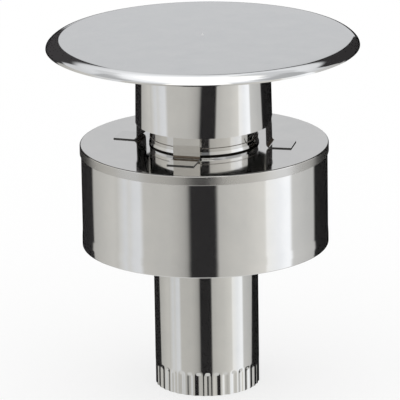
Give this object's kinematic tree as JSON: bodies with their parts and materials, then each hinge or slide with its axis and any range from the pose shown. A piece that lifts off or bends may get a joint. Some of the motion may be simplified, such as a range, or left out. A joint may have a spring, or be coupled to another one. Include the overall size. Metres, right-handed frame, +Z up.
{
  "type": "flue terminal",
  "caption": "Stainless flue terminal: crimped spigot, round weather drum, open wind sleeve and domed rain cap on bent legs.",
  "frame": {"origin": "centre of the spigot's open lower end, on the surface that the terminal stands on", "axes": "+Z up along the flue, from the spigot to the rain cap; -Y is the side the picture shows"},
  "size_m": [0.298, 0.298, 0.3444],
  "materials": {
    "polished_stainless": "mirror-polished stainless sheet"
  },
  "bodies": {
    "root": {"spigot_tube": "polished_stainless", "drum_lid": "polished_stainless", "drum_shell": "polished_stainless", "flue_pipe": "polished_stainless", "wind_sleeve": "polished_stainless", "rain_cap": "polished_stainless", "leg_front": "polished_stainless", "leg_right": "polished_stainless", "leg_back": "polished_stainless", "leg_left": "polished_stainless"}
  },
  "joints": []
}
